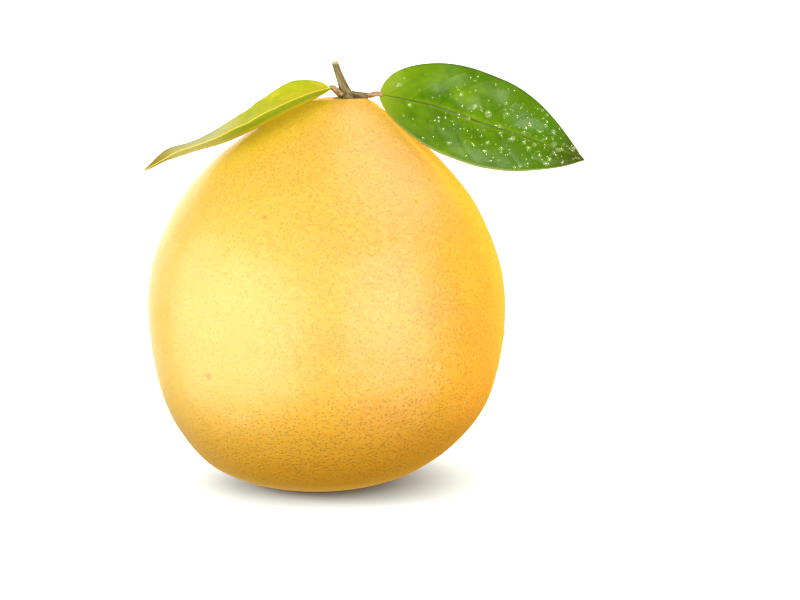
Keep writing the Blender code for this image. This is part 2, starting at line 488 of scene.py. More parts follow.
# Painted shade: it turns dark brown against the stalk, in the crevice at the stalk's foot, and is
# yellow out at its lobes.
to_stalk = add(tree, "VectorMath", {1: CALYX_MIDDLE}, {0: place}, operation="DISTANCE")
crevice_shade = add(
    tree,
    "MapRange",
    {"From Min": CREVICE_SHADE_REACH[0], "From Max": CREVICE_SHADE_REACH[1]},
    {"Value": to_stalk.outputs["Value"]},
    interpolation_type="SMOOTHSTEP",
)
crevice_shaded = add(
    tree,
    "Mix",
    {7: linear("#6E4A1C")},
    {0: crevice_shade.outputs[0], 6: fibre_colour.outputs[2]},
    data_type="RGBA",
)
tree.links.new(crevice_shaded.outputs[2], shader.inputs["Base Color"])
bump = add(
    tree, "Bump", {"Strength": 0.6, "Distance": 0.1 * MM}, {"Height": fibre_noise.outputs[0]}
)
tree.links.new(bump.outputs[0], shader.inputs["Normal"])

finish_piece(calyx, "calyx_star", wood, "calyx_wood", "calyx")

# ---------------------------------------------------------------------------------------
# The twig. The stalk was cut with shears just above the fruit, and a side shoot runs off its
# foot to the broad leaf. Both are one season's wood, still green under thin grey bark.
# ---------------------------------------------------------------------------------------
# Each row is a point on the stem's middle line, and its radius there.
STALK = (
    ((0.0130, 0.0000, 0.16300), 0.00300),
    ((0.0130, 0.0000, 0.16375), 0.00275),
    ((0.0127, 0.0001, 0.16480), 0.00258),
    ((0.0115, 0.0003, 0.16780), 0.00205),
    ((0.0099, 0.0008, 0.17200), 0.00162),
    ((0.0077, 0.0012, 0.17820), 0.00130),
)
SHOOT = (
    ((0.0128, 0.0000, 0.16440), 0.00165),
    ((0.0160, 0.0000, 0.16430), 0.00148),
    ((0.0190, 0.0000, 0.16405), 0.00135),
    ((0.0220, 0.0000, 0.16365), 0.00128),
)
STEM_SIDES = 48
CAP_INSETS = (0.12, 0.25, 0.30)
# The bark's pattern runs over this length, and is squeezed along it to make long streaks.
GRAIN_RUN = 0.016
GRAIN_SQUEEZE = 0.14
# The height over which the cut turns pale, and how far out the brown ring begins.
CUT_HEIGHTS = (0.1766, 0.1778)
RING_REACH = (0.0206, 0.0218)


def stem(bm, rows, rings, ridges, seed):
    """A grown stem along its rows, in the bmesh: a capped tube with ridges along it."""
    flat_rows = [(*point, radius) for point, radius in rows]
    made = bmesh.ops.create_cone(
        bm, cap_ends=True, segments=STEM_SIDES, radius1=1.0, radius2=1.0, depth=1.0
    )["verts"]
    sides = [
        edge
        for edge in bm.edges
        if edge.verts[0] in made and abs(edge.verts[0].co.z - edge.verts[1].co.z) > 0.5
    ]
    bmesh.ops.subdivide_edges(bm, edges=sides, cuts=rings)
    grain = bm.verts.layers.float_vector["grain"]
    ring = bm.verts.layers.float["growth"]
    caps = [
        face
        for face in bm.faces
        if len(face.verts) == STEM_SIDES and all(vert[ring] == 0.0 for vert in face.verts)
    ]
    for thickness in CAP_INSETS:
        bmesh.ops.inset_individual(bm, faces=caps, thickness=thickness)
    fresh = [vert for vert in bm.verts if vert[ring] == 0.0]
    for vert in fresh:
        share = vert.co.z + 0.5
        out = math.hypot(vert.co.x, vert.co.y)
        angle = math.atan2(vert.co.y, vert.co.x)
        x, y, z, radius = along(flat_rows, share)
        ahead = Vector(along(flat_rows, share + 0.01)[:3])
        behind = Vector(along(flat_rows, share - 0.01)[:3])
        forward = (ahead - behind).normalized()
        level = forward.cross(Vector((0.0, 1.0, 0.0))).normalized()
        upright = level.cross(forward)
        bump_up = ridges * noise.noise(
            Vector((2.6 * math.cos(angle), 2.6 * math.sin(angle), 3.0 * share + seed))
        )
        bump_up += 0.5 * ridges * noise.noise(
            Vector((7.0 * math.cos(angle), 7.0 * math.sin(angle), 9.0 * share + seed))
        )
        offset = (level * math.cos(angle) + upright * math.sin(angle)) * out * (radius + bump_up)
        vert.co = Vector((x, y, z)) + offset
        vert[grain] = offset + forward * (share * GRAIN_RUN) * GRAIN_SQUEEZE
        vert[ring] = 1.0 + out


twig = bmesh.new()
twig.verts.layers.float_vector.new("grain")
twig.verts.layers.float.new("growth")
stem(twig, STALK, rings=60, ridges=0.00013, seed=3.0)
stem(twig, SHOOT, rings=44, ridges=0.00009, seed=8.0)
bmesh.ops.recalc_face_normals(twig, faces=twig.faces)

# Young citrus bark: olive green under a split grey skin, so it is streaked along the stem.
STREAK_WIDTH = 0.9 * MM
bark, tree, shader = new_material("young_citrus_bark", {"Roughness": 0.6})
run = add(tree, "Attribute", attribute_name="grain").outputs["Vector"]
streak_noise = add(
    tree,
    "TexNoise",
    {"Scale": 1.0 / STREAK_WIDTH, "Detail": 4.0, "Roughness": 0.6},
    {"Vector": run},
)
streak = add(
    tree, "MapRange", {"From Min": 0.40, "From Max": 0.62}, {"Value": streak_noise.outputs[0]}
)
bark_colour = add(
    tree,
    "Mix",
    {6: linear("#62561A"), 7: linear("#A89C72")},
    {0: streak.outputs[0]},
    data_type="RGBA",
)
# Where the shears cut it, the wood shows pale.
place = add(tree, "TexCoord").outputs["Object"]
axes = add(tree, "SeparateXYZ", links={0: place})
cut = add(
    tree,
    "MapRange",
    {"From Min": CUT_HEIGHTS[0], "From Max": CUT_HEIGHTS[1]},
    {"Value": axes.outputs["Z"]},
)
cut_colour = add(
    tree,
    "Mix",
    {7: linear("#DDD3A2")},
    {0: cut.outputs[0], 6: bark_colour.outputs[2]},
    data_type="RGBA",
)
# The shoot ends in a brown ring, where the leaf will part from it.
ring = add(
    tree,
    "MapRange",
    {"From Min": RING_REACH[0], "From Max": RING_REACH[1], "To Max": 0.8},
    {"Value": axes.outputs["X"]},
    interpolation_type="SMOOTHSTEP",
)
ringed = add(
    tree,
    "Mix",
    {7: linear("#70481C")},
    {0: ring.outputs[0], 6: cut_colour.outputs[2]},
    data_type="RGBA",
)
tree.links.new(ringed.outputs[2], shader.inputs["Base Color"])
bump = add(
    tree, "Bump", {"Strength": 0.6, "Distance": 0.12 * MM}, {"Height": streak_noise.outputs[0]}
)
tree.links.new(bump.outputs[0], shader.inputs["Normal"])

finish_piece(twig, "twig_bark", bark, "twig_bark", "twig")

# ---------------------------------------------------------------------------------------
# The petioles. Each leaf hangs on a short fleshy stalk that is swollen where it leaves the
# twig and again where the blade breaks off it.
# ---------------------------------------------------------------------------------------
LEFT_PETIOLE = (
    ((0.0108, -0.0012, 0.16410), 0.00160),
    ((0.0096, -0.0016, 0.16510), 0.00148),
    ((0.0084, -0.0017, 0.16625), 0.00132),
    ((0.0071, -0.0018, 0.16725), 0.00122),
    ((0.0058, -0.0022, 0.16735), 0.00080),
)
RIGHT_PETIOLE = (
    ((0.0212, -0.0001, 0.16400), 0.00100),
    ((0.0229, -0.0002, 0.16405), 0.00120),
    ((0.0245, -0.0003, 0.16440), 0.00105),
    ((0.0260, -0.0005, 0.16470), 0.00105),
    ((0.0280, -0.0006, 0.16440), 0.00060),
)

# Fleshy leaf stalk: waxy young tissue, pale and brown in faint stripes along its length.
STRIPE_WIDTH = 0.8 * MM
flesh, tree, shader = new_material("fleshy_leaf_stalk", {"Roughness": 0.45})
run = add(tree, "Attribute", attribute_name="grain").outputs["Vector"]
stripe_noise = add(
    tree, "TexNoise", {"Scale": 1.0 / STRIPE_WIDTH, "Detail": 3.0}, {"Vector": run}
)
stripe = add(
    tree, "MapRange", {"From Min": 0.38, "From Max": 0.62}, {"Value": stripe_noise.outputs[0]}
)
stripe_colour = add(
    tree,
    "Mix",
    {6: linear("#86661E"), 7: linear("#D8B488")},
    {0: stripe.outputs[0]},
    data_type="RGBA",
)
tree.links.new(stripe_colour.outputs[2], shader.inputs["Base Color"])
bump = add(
    tree, "Bump", {"Strength": 0.4, "Distance": 0.08 * MM}, {"Height": stripe_noise.outputs[0]}
)
tree.links.new(bump.outputs[0], shader.inputs["Normal"])

for side, rows, seed in (("left", LEFT_PETIOLE, 1.0), ("right", RIGHT_PETIOLE, 5.0)):
    stalk = bmesh.new()
    stalk.verts.layers.float_vector.new("grain")
    stalk.verts.layers.float.new("growth")
    stem(stalk, rows, rings=24, ridges=0.00006, seed=seed)
    bmesh.ops.recalc_face_normals(stalk, faces=stalk.faces)
    finish_piece(stalk, side + "_leaf_stalk", flesh, "petiole_green", side + "_petiole")

# ---------------------------------------------------------------------------------------
# The leaves. Citrus blades are thin leathery sheets, glossy above and dull and paler below,
# folded along a midrib that stands out below. Side veins sink into the upper face.
# ---------------------------------------------------------------------------------------
LEAF_THICKNESS = 0.00045
LEAF_ROWS = 190
LEAF_COLUMNS = 76
LEAF_ENDS = (0.004, 0.994)
# A half's outline is its greatest width, the share of the length where that is, and three
# powers that shape its base, its taper and its tip. The far half comes first.
RIGHT_HALVES = ((0.0230, 0.43, 0.60, 2.65, 1.57), (0.0221, 0.38, 0.85, 3.30, 1.30))
LEFT_HALVES = ((0.0190, 0.42, 0.60, 2.20, 1.20), (0.0190, 0.42, 0.60, 2.20, 1.20))
# Each row is a point on the midrib, the blade's roll about it, and each half's fold.
RIGHT_LEAF = (
    ((0.0265, 0.0000, 0.1646), 54.0, 5.0),
    ((0.0480, -0.0003, 0.1600), 54.0, 5.0),
    ((0.0690, -0.0013, 0.1528), 54.0, 5.0),
    ((0.0910, -0.0030, 0.1456), 53.0, 5.0),
    ((0.1124, -0.0054, 0.1376), 50.0, 6.0),
)
LEFT_LEAF = (
    ((0.0060, -0.0019, 0.1674), 13.0, 28.0),
    ((-0.0004, -0.0063, 0.1637), 10.0, 31.0),
    ((-0.0080, -0.0089, 0.1602), 7.0, 25.0),
    ((-0.0157, -0.0099, 0.1562), 8.0, 21.0),
    ((-0.0235, -0.0095, 0.1521), 10.0, 19.0),
    ((-0.0313, -0.0083, 0.1483), 9.0, 17.0),
    ((-0.0394, -0.0071, 0.1451), 7.0, 15.0),
    ((-0.0477, -0.0061, 0.1425), 5.0, 13.0),
    ((-0.0561, -0.0053, 0.1401), 5.0, 13.0),
    ((-0.0643, -0.0049, 0.1370), 15.0, 20.0),
    ((-0.0722, -0.0046, 0.1331), 8.0, 14.0),
)
SIDE_VEINS = 9.0
VEIN_SLANT = 0.13
VEIN_CURVE = 0.09
# The near half's veins leave the midrib between the far half's.
VEIN_STAGGER = 0.45
VEIN_DEPTH = 0.00004
# The height and the spread of the midrib's gutter, of the fine ridge in it, and of the rib
# on the lower face.
GUTTER = (0.00026, 0.0016)
RIDGE = (0.00008, 0.00035)
LOWER_RIB = (0.00042, 0.00075)
BLADE_WAVE = 0.00045
BLADE_PUCKER = 0.00001


def half_width(half, share):
    """A half blade's width at a share of its length: a rounded base and a drawn-out tip."""
    widest, widest_at, base, taper, tip = half
    if share < widest_at:
        return widest * (1.0 - (1.0 - share / widest_at) ** 2) ** base
    return widest * (1.0 - ((share - widest_at) / (1.0 - widest_at)) ** taper) ** tip


def blade_point(rows, halves, share, side):
    """A point of the blade's middle: share runs from base to tip, side from -1 to 1."""
    x, y, z, roll, fold = along(rows, share)
    ahead = Vector(along(rows, share + 0.01)[:3])
    behind = Vector(along(rows, share - 0.01)[:3])
    forward = (ahead - behind).normalized()
    level = forward.cross(Vector((0.0, 0.0, 1.0))).normalized()
    if level.y < 0:
        level = -level
    upright = forward.cross(level).normalized()
    if upright.z < 0:
        upright = -upright
    turn = math.radians(roll)
    across = level * math.cos(turn) + upright * math.sin(turn)
    normal = upright * math.cos(turn) - level * math.sin(turn)
    far_half, near_half = halves
    width = half_width(far_half if side > 0 else near_half, share)
    lift = math.radians(fold)
    middle = Vector((x, y, z)) + across * side * width * math.cos(lift)
    return middle + normal * abs(side) * width * math.sin(lift), width


def ridge_height(profile, distance):
    """The height of a long rounded swelling at a distance from its middle line."""
    height, spread = profile
    return height * math.exp(-((distance / spread) ** 2))


def vein_nearness(share, side):
    """1 on a side vein's line and 0 away from it."""
    reach = abs(side)
    phase = (share - VEIN_SLANT * reach - VEIN_CURVE * reach**2) * SIDE_VEINS
    if side < 0:
        phase += VEIN_STAGGER
    away = abs(phase - math.floor(phase) - 0.5)
    fade = smooth(0.0, 0.12, reach) * (1.0 - smooth(0.80, 0.98, reach))
    return math.exp(-((away / 0.10) ** 2)) * fade


def leaf_blade(rows, halves):
    """A blade as a bmesh, with the attribute that its material reads: share, side, upper."""
    flat_rows = [(*point, roll, fold) for point, roll, fold in rows]
    start, end = LEAF_ENDS
    bm = bmesh.new()
    blade = bm.verts.layers.float_vector.new("blade")
    bmesh.ops.create_grid(bm, x_segments=LEAF_ROWS, y_segments=LEAF_COLUMNS, size=1.0)
    for vert in bm.verts:
        # The rows crowd together at both ends, where the outline turns fastest.
        share = start + (end - start) * 0.5 * (1.0 - math.cos(math.pi * (vert.co.x + 1.0) / 2.0))
        side = vert.co.y
        vert.co, width = blade_point(flat_rows, halves, share, side)
        vert[blade] = Vector((share, side, width))
    bmesh.ops.recalc_face_normals(bm, faces=bm.faces)
    if sum(face.normal.z for face in bm.faces) < 0:
        bmesh.ops.reverse_faces(bm, faces=bm.faces[:])
    bm.normal_update()
    lifts = {}
    for vert in bm.verts:
        share, side, width = vert[blade]
        from_rib = abs(side) * width
        relief = -VEIN_DEPTH * vein_nearness(share, side)
        # The midrib is a fine ridge in a shallow gutter, and thins out towards the tip.
        relief -= ridge_height(GUTTER, from_rib)
        relief += ridge_height(RIDGE, from_rib) * (1.0 - 0.7 * share)
        wave_at = Vector((share * 8.0, side * 2.0, halves[0][0] * 100.0))
        relief += BLADE_WAVE * noise.noise(wave_at)
        relief += BLADE_PUCKER * noise.noise(Vector((share * 30.0, side * 8.0, 1.0)))
        lifts[vert] = vert.normal * relief * smooth(0.0, 0.002, width)
    for vert, lift in lifts.items():
        vert.co += lift
    upper = set(bm.verts)
    bmesh.ops.solidify(bm, geom=bm.faces[:], thickness=LEAF_THICKNESS)
    for vert in bm.verts:
        share, side, _ = vert[blade]
        vert[blade] = Vector((share, side, 1.0 if vert in upper else 0.0))
    bmesh.ops.recalc_face_normals(bm, faces=bm.faces)
    bm.normal_update()
    for vert in bm.verts:
        share, side, top = vert[blade]
        if top < 0.5:
            # Below, the midrib stands out.
            from_rib = abs(side) * half_width(halves[0], share)
            rib = ridge_height(LOWER_RIB, from_rib) * (1.0 - 0.6 * share)
            vert.co += vert.normal * rib
    return bm


LEAF_BLOTCH = 12.0 * MM
VEIN_NET = 1.5 * MM


def leaf_material(
    name, light, dark, outer, yellow, vein_colour, margin_highlight, under, tip, rib_yellow, roughness
):
    """A leathery blade's finish, by where on the blade it is and which face it is on."""
    finish = {
        "Specular IOR Level": 0.12,
        "Subsurface Weight": 0.25,
        "Subsurface Radius": (0.7, 1.0, 0.15),
        "Subsurface Scale": 0.8 * MM,
    }
    material, tree, shader = new_material(name, finish)
    blade = add(tree, "Attribute", attribute_name="blade").outputs["Vector"]
    parts = add(tree, "SeparateXYZ", links={0: blade})
    share, side, upper = parts.outputs
    reach = add(tree, "Math", links={0: side}, operation="ABSOLUTE").outputs[0]
    place = add(tree, "TexCoord").outputs["Object"]
    # Blotches of lighter and darker green.
    blotch = add(
        tree,
        "TexNoise",
        {"Scale": 1.0 / LEAF_BLOTCH, "Detail": 3.0, "Roughness": 0.6},
        {"Vector": place},
    )
    blotch_share = add(
        tree, "MapRange", {"From Min": 0.32, "From Max": 0.68}, {"Value": blotch.outputs[0]}
    )
    green = add(tree, "Mix", {6: light, 7: dark}, {0: blotch_share.outputs[0]}, data_type="RGBA")
    # The far part of the blade has its own tone.
    outward = add(
        tree,
        "MapRange",
        {"From Min": 0.42, "From Max": 0.74, "To Max": 0.8},
        {"Value": share},
        interpolation_type="SMOOTHSTEP",
    )
    toned = add(
        tree, "Mix", {7: outer}, {0: outward.outputs[0], 6: green.outputs[2]}, data_type="RGBA"
    )
    # Yellower along the midrib and at the base, where the blade is youngest.
    yellow_reach, rib_share, base_share = rib_yellow
    near_rib = add(
        tree,
        "MapRange",
        {"From Min": yellow_reach, "From Max": 0.0, "To Max": rib_share},
        {"Value": reach},
        interpolation_type="SMOOTHSTEP",
    )
    near_base = add(
        tree,
        "MapRange",
        {"From Min": 0.20, "From Max": 0.0, "To Max": base_share},
        {"Value": share},
        interpolation_type="SMOOTHSTEP",
    )
    yellowness = add(
        tree, "Math", links={0: near_rib.outputs[0], 1: near_base.outputs[0]}, operation="MAXIMUM"
    )
    yellowed = add(
        tree,
        "Mix",
        {7: yellow},
        {0: yellowness.outputs[0], 6: toned.outputs[2]},
        data_type="RGBA",
    )
    # Side veins: the same lines as the mesh has, drawn thin.
    curve = add(
        tree, "Math", {1: VEIN_CURVE, 2: VEIN_SLANT}, {0: reach}, operation="MULTIPLY_ADD"
    )
    slant = add(tree, "Math", links={0: curve.outputs[0], 1: reach}, operation="MULTIPLY")
    straight = add(tree, "Math", links={0: share, 1: slant.outputs[0]}, operation="SUBTRACT")
    near_half = add(tree, "Math", {1: 0.0}, {0: side}, operation="LESS_THAN")
    shifted = add(
        tree, "Math", {1: VEIN_STAGGER}, {0: near_half.outputs[0]}, operation="MULTIPLY"
    )
    phase = add(
        tree,
        "Math",
        {1: SIDE_VEINS},
        {0: straight.outputs[0], 2: shifted.outputs[0]},
        operation="MULTIPLY_ADD",
    )
    cycle = add(tree, "Math", links={0: phase.outputs[0]}, operation="FRACT")
    centred = add(tree, "Math", {1: 0.5}, {0: cycle.outputs[0]}, operation="SUBTRACT")
    away = add(tree, "Math", links={0: centred.outputs[0]}, operation="ABSOLUTE")
    vein = add(
        tree,
        "MapRange",
        {"From Min": 0.055, "From Max": 0.012},
        {"Value": away.outputs[0]},
        interpolation_type="SMOOTHSTEP",
    )
    vein_fade = add(
        tree, "MapRange", {"From Min": 0.92, "From Max": 0.30, "To Max": 0.32}, {"Value": reach}
    )
    vein_tint = add(
        tree, "Math", links={0: vein.outputs[0], 1: vein_fade.outputs[0]}, operation="MULTIPLY"
    )
    rib = add(
        tree,
        "MapRange",
        {"From Min": 0.030, "From Max": 0.012, "To Max": 0.85},
        {"Value": reach},
        interpolation_type="SMOOTHSTEP",
    )
    lines = add(
        tree, "Math", links={0: vein_tint.outputs[0], 1: rib.outputs[0]}, operation="MAXIMUM"
    )
    veined = add(
        tree,
        "Mix",
        {7: vein_colour},
        {0: lines.outputs[0], 6: yellowed.outputs[2]},
        data_type="RGBA",
    )
    # The tip is the first to brown.
    tipped_share = add(
        tree,
        "MapRange",
        {"From Min": 0.80, "From Max": 0.94, "To Max": 0.9},
        {"Value": share},
        interpolation_type="SMOOTHSTEP",
    )
    tipped = add(
        tree,
        "Mix",
        {7: tip},
        {0: tipped_share.outputs[0], 6: veined.outputs[2]},
        data_type="RGBA",
    )
    # The lower face has its own tones: by the midrib, out at the rim, and far along the blade.
    under_rib, under_edge, under_far = under
    to_edge = add(
        tree,
        "MapRange",
        {"From Min": 0.10, "From Max": 0.50},
        {"Value": reach},
        interpolation_type="SMOOTHSTEP",
    )
    lower = add(
        tree, "Mix", {6: under_rib, 7: under_edge}, {0: to_edge.outputs[0]}, data_type="RGBA"
    )
    lower_toned = add(
        tree,
        "Mix",
        {7: under_far},
        {0: outward.outputs[0], 6: lower.outputs[2]},
        data_type="RGBA",
    )
    under_tipped = add(
        tree,
        "Mix",
        {7: tip},
        {0: tipped_share.outputs[0], 6: lower_toned.outputs[2]},
        data_type="RGBA",
    )
    faced = add(
        tree,
        "Mix",
        links={0: upper, 6: under_tipped.outputs[2], 7: tipped.outputs[2]},
        data_type="RGBA",
    )
    # The rim itself is a thin line: dark on the far half, and on the near one a pale painted
    # highlight, where the edge catches the light.
    rim_colour = add(
        tree, "Mix", {6: vein_colour, 7: margin_highlight}, {0: near_half.outputs[0]}, data_type="RGBA"
    )
    rim = add(
        tree, "MapRange", {"From Min": 0.94, "From Max": 0.995, "To Max": 0.65}, {"Value": reach}
    )
    rimmed = add(
        tree,
        "Mix",
        links={0: rim.outputs[0], 6: faced.outputs[2], 7: rim_colour.outputs[2]},
        data_type="RGBA",
    )
    tree.links.new(rimmed.outputs[2], shader.inputs["Base Color"])
    gloss = add(tree, "MapRange", {"To Min": 0.60, "To Max": roughness}, {"Value": upper})
    tree.links.new(gloss.outputs[0], shader.inputs["Roughness"])
    # The net of fine veins puckers the skin.
    net = add(
        tree,
        "TexVoronoi",
        {"Scale": 1.0 / VEIN_NET},
        {"Vector": place},
        feature="DISTANCE_TO_EDGE",
    )
    bump = add(
        tree, "Bump", {"Strength": 0.12, "Distance": 0.12 * MM}, {"Height": net.outputs[0]}
    )
    tree.links.new(bump.outputs[0], shader.inputs["Normal"])
    return material


# A grown leaf: deep green, with a smooth wax that mirrors the lamps above.
glossy_leaf = leaf_material(
    "glossy_citrus_leaf",
    light=linear("#74A004"),
    dark=linear("#4A7802"),
    outer=linear("#528202"),
    yellow=linear("#A6C02E"),
    vein_colour=linear("#3C6406"),
    # The near rim's pale line is a painted highlight.
    margin_highlight=linear("#B9C274"),
    under=(linear("#9DB25C"), linear("#AABC6C"), linear("#A2B664")),
    tip=linear("#4C5A10"),
    rib_yellow=(0.14, 0.25, 0.75),
    roughness=0.19,
)
right_blade = leaf_blade(RIGHT_LEAF, RIGHT_HALVES)
leaf_surface = BVHTree.FromBMesh(right_blade)
right_leaf = finish_piece(
    right_blade, "right_leaf", glossy_leaf, "leaf_green", "right_leaf_blade"
)

# A young leaf: thin and still yellow, with little wax yet, so it is only satin.
young_leaf = leaf_material(
    "young_citrus_leaf",
    light=linear("#DCD62C"),
    dark=linear("#9CB816"),
    outer=linear("#DAD89C"),
    yellow=linear("#E6D23C"),
    vein_colour=linear("#98A30E"),
    # The near rim's pale line is a painted highlight.
    margin_highlight=linear("#F6E25C"),
    # Below, the bright yellow by the midrib is painted light, lifting the shade that the folded
    # half lies in.
    under=(linear("#E8EC40"), linear("#9CC02E"), linear("#DDEBB0")),
    tip=linear("#A08A18"),
    # The wide yellow band along its midrib is partly its young colour and partly a painted
    # highlight.
    rib_yellow=(0.75, 0.75, 0.10),
    roughness=0.38,
)
left_blade = leaf_blade(LEFT_LEAF, LEFT_HALVES)
left_leaf = finish_piece(
    left_blade, "left_leaf", young_leaf, "leaf_yellow_green", "left_leaf_blade"
)

# ---------------------------------------------------------------------------------------
# The dew. Clean water beads up on the wax: many small domes on the broad leaf and some wide
# flat ones on the peel.
# ---------------------------------------------------------------------------------------
# Water: smooth, and it bends light so that each drop has a bright rim. It is kept a little
# less than clear, with a pale base colour that is painted light for the light each drop
# gathers, or the smallest drops wouldn't show.
water, tree, shader = new_material(
    "clear_water",
    {
        "Base Color": linear("#EEF4C0"),
        "Roughness": 0.0,
        "IOR": 1.33,
        "Transmission Weight": 0.94,
    },
)
# Each drop's height as a share of its width, and how far it sinks in as a share of its height.
LEAF_DOME = 0.36
PEEL_DOME = 0.14
DROP_SINK = 0.12
# The widest drops on the leaf: their share of its length, their side and their width.
WIDE_LEAF_DROPS = (
    (0.52, 0.20, 0.0036),
    (0.45, 0.26, 0.0024),
    (0.37, 0.40, 0.0020),
    (0.60, 0.34, 0.0022),
    (0.66, -0.16, 0.0026),
    (0.74, -0.30, 0.0022),
    (0.70, 0.22, 0.0022),
    (0.56, -0.42, 0.0020),
)
# Each wide drop on the peel: its angle round the fruit, its height, its width and its stretch.
WIDE_PEEL_DROPS = (
    (-73.0, 0.1080, 0.0066, 1.0),
    (-65.0, 0.1105, 0.0034, 1.1),
    (-52.0, 0.0590, 0.0036, 1.1),
    (-55.0, 0.0602, 0.0026, 1.0),
    (-86.0, 0.0605, 0.0026, 1.0),
    (-124.0, 0.1050, 0.0036, 1.4),
    (-112.0, 0.1070, 0.0036, 1.5),
    (-108.0, 0.1090, 0.0030, 1.2),
    (-105.0, 0.1020, 0.0034, 1.3),
    (-110.0, 0.1185, 0.0028, 1.0),
    (-121.0, 0.1085, 0.0030, 1.2),
    (-123.0, 0.0965, 0.0026, 1.0),
    (-176.0, 0.0170, 0.0048, 1.1),
)
SMALL_LEAF_DROPS = 230
SMALL_PEEL_DROPS = 40
# The small leaf drops' least width, their usual growth past it, and their greatest width.
LEAST_WIDE, USUAL_GROWTH, MOST_WIDE = 0.0006, 0.0005, 0.0022
draw = random.Random(11)


def bead(bm, spot, normal, width, height, stretch=1.0, turn=0.0, steps=2):
    """Adds one drop: a squashed ball that sinks slightly into what it sits on."""
    made = bmesh.ops.create_icosphere(bm, subdivisions=steps, radius=1.0)["verts"]
    for vert in made:
        if vert.co.z < 0.0:
            vert.co.z *= DROP_SINK
        vert.co.z *= height
        vert.co.x *= 0.5 * width * stretch
        vert.co.y *= 0.5 * width
    stand = normal.to_track_quat("Z", "Y").to_matrix().to_4x4()
    whole = Matrix.Translation(spot) @ stand @ Matrix.Rotation(turn, 4, "Z")
    bmesh.ops.transform(bm, matrix=whole, verts=made)


leaf_dew = bmesh.new()
right_rows = [(*point, roll, fold) for point, roll, fold in RIGHT_LEAF]
drops = list(WIDE_LEAF_DROPS)
for _ in range(SMALL_LEAF_DROPS):
    width = min(LEAST_WIDE + draw.expovariate(1.0 / USUAL_GROWTH), MOST_WIDE)
    drops.append((draw.betavariate(3.4, 2.0), draw.uniform(-0.9, 0.9), width))
for share, side, width in drops:
    guess, _ = blade_point(right_rows, RIGHT_HALVES, share, side)
    # The upper face is nearest to a point in front of the blade and above it.
    _, face_normal, _, _ = leaf_surface.find_nearest(guess + Vector((0.0, -0.002, 0.0015)))
    start = guess + face_normal * 0.003
    hit, normal, _, _ = leaf_surface.ray_cast(start, -face_normal)
    if hit:
        stretch = draw.uniform(1.0, 1.3)
        turn = draw.uniform(0.0, math.pi)
        steps = 3 if width > 0.0018 else 2
        bead(leaf_dew, hit, normal, width, LEAF_DOME * width, stretch, turn, steps)
leaf_beads = finish_piece(leaf_dew, "leaf_dew", water, "water")

peel_dew = bmesh.new()
PEEL_MIDDLE = 0.0045


def bead_on_peel(angle, height, width, stretch):
    """A flat drop on the skin, run a little downwards."""
    middle = Vector((PEEL_MIDDLE, 0.0, height))
    way = Vector((math.cos(angle), math.sin(angle), 0.0))
    hit, normal, _, _ = peel_surface.ray_cast(middle + way * 0.2, -way)
    if hit:
        downwards = math.radians(90.0)
        bead(peel_dew, hit, normal, width, PEEL_DOME * width, stretch, downwards, 3)


for degrees, height, width, stretch in WIDE_PEEL_DROPS:
    bead_on_peel(math.radians(degrees), height, width, stretch)
for _ in range(SMALL_PEEL_DROPS):
    bead_on_peel(
        draw.uniform(0.0, math.tau),
        draw.uniform(0.030, 0.140),
        draw.uniform(0.0010, 0.0024),
        draw.uniform(1.0, 1.3),
    )
peel_beads = finish_piece(peel_dew, "peel_dew", water, "water")
# Light passes through water to what it wets.
for beads in (leaf_beads, peel_beads):
    beads.visible_shadow = False
    beads.visible_diffuse = False

# ---------------------------------------------------------------------------------------
# The studio. The fruit stands on a plain white table in a white room, between two soft boxes.
# A long lens looks slightly down on it. Lamps that would wash each other out light one group
# of pieces each, and the table has its own.
# ---------------------------------------------------------------------------------------
AIM = Vector((0.0352, 0.0, 0.0775))
CAMERA_DISTANCE = 0.9415
CAMERA_TILT = math.radians(8.5)
FLOOR_REACH = 30.0
scene.view_settings.view_transform = "Standard"

lens = bpy.data.cameras.new("camera")
lens.lens = 100.0
lens.sensor_width = 36.0
lens.clip_start = 0.01
lens.clip_end = 100.0
camera = bpy.data.objects.new("camera", lens)
camera.location = AIM + CAMERA_DISTANCE * Vector(
    (0.0, -math.cos(CAMERA_TILT), math.sin(CAMERA_TILT))
)
camera.rotation_euler = (math.pi / 2.0 - CAMERA_TILT, 0.0, 0.0)
scene.collection.objects.link(camera)
scene.camera = camera

floor_mesh = bpy.data.meshes.new("floor")
flat = bmesh.new()
bmesh.ops.create_grid(flat, x_segments=1, y_segments=1, size=FLOOR_REACH)
flat.to_mesh(floor_mesh)
flat.free()
floor = bpy.data.objects.new("floor", floor_mesh)
floor.location.z = -0.0001
scene.collection.objects.link(floor)
# Matt card: a grey base that the table's own strong lamps bring up to white.
card, tree, shader = new_material(
    "white_card",
    {"Base Color": linear("#7B7C78"), "Roughness": 0.9, "Specular IOR Level": 0.0},
)
floor_mesh.materials.append(card)
# Only the camera sees the table, so it neither tints the fruit nor mirrors in it.
floor.visible_diffuse = False
floor.visible_glossy = False
floor.visible_shadow = False

# The room is bright on the camera's side and in a patch straight behind the fruit, and
# darker at the back and overhead. The camera itself sees plain white.
world = bpy.data.worlds.new("studio")
world.use_nodes = True
scene.world = world
tree = world.node_tree
sky = tree.nodes["Background"]
heading = add(tree, "TexCoord").outputs["Generated"]
axes = add(tree, "SeparateXYZ", links={0: heading})
backdrop = add(
    tree,
    "MapRange",
    {"From Min": -0.6, "From Max": 0.6, "To Min": 0.98, "To Max": 0.50},
    {"Value": axes.outputs["Y"]},
    interpolation_type="SMOOTHSTEP",
)
behind = add(
    tree,
    "MapRange",
    {"From Min": 0.60, "From Max": 0.92, "To Max": 2.2},
    {"Value": axes.outputs["Y"]},
    interpolation_type="SMOOTHSTEP",
)
above_table = add(
    tree,
    "MapRange",
    {"From Min": -0.34, "From Max": -0.17},
    {"Value": axes.outputs["Z"]},
    interpolation_type="SMOOTHSTEP",
)
around = add(
    tree,
    "Math",
    links={0: behind.outputs[0], 1: above_table.outputs[0], 2: backdrop.outputs[0]},
    operation="MULTIPLY_ADD",
)
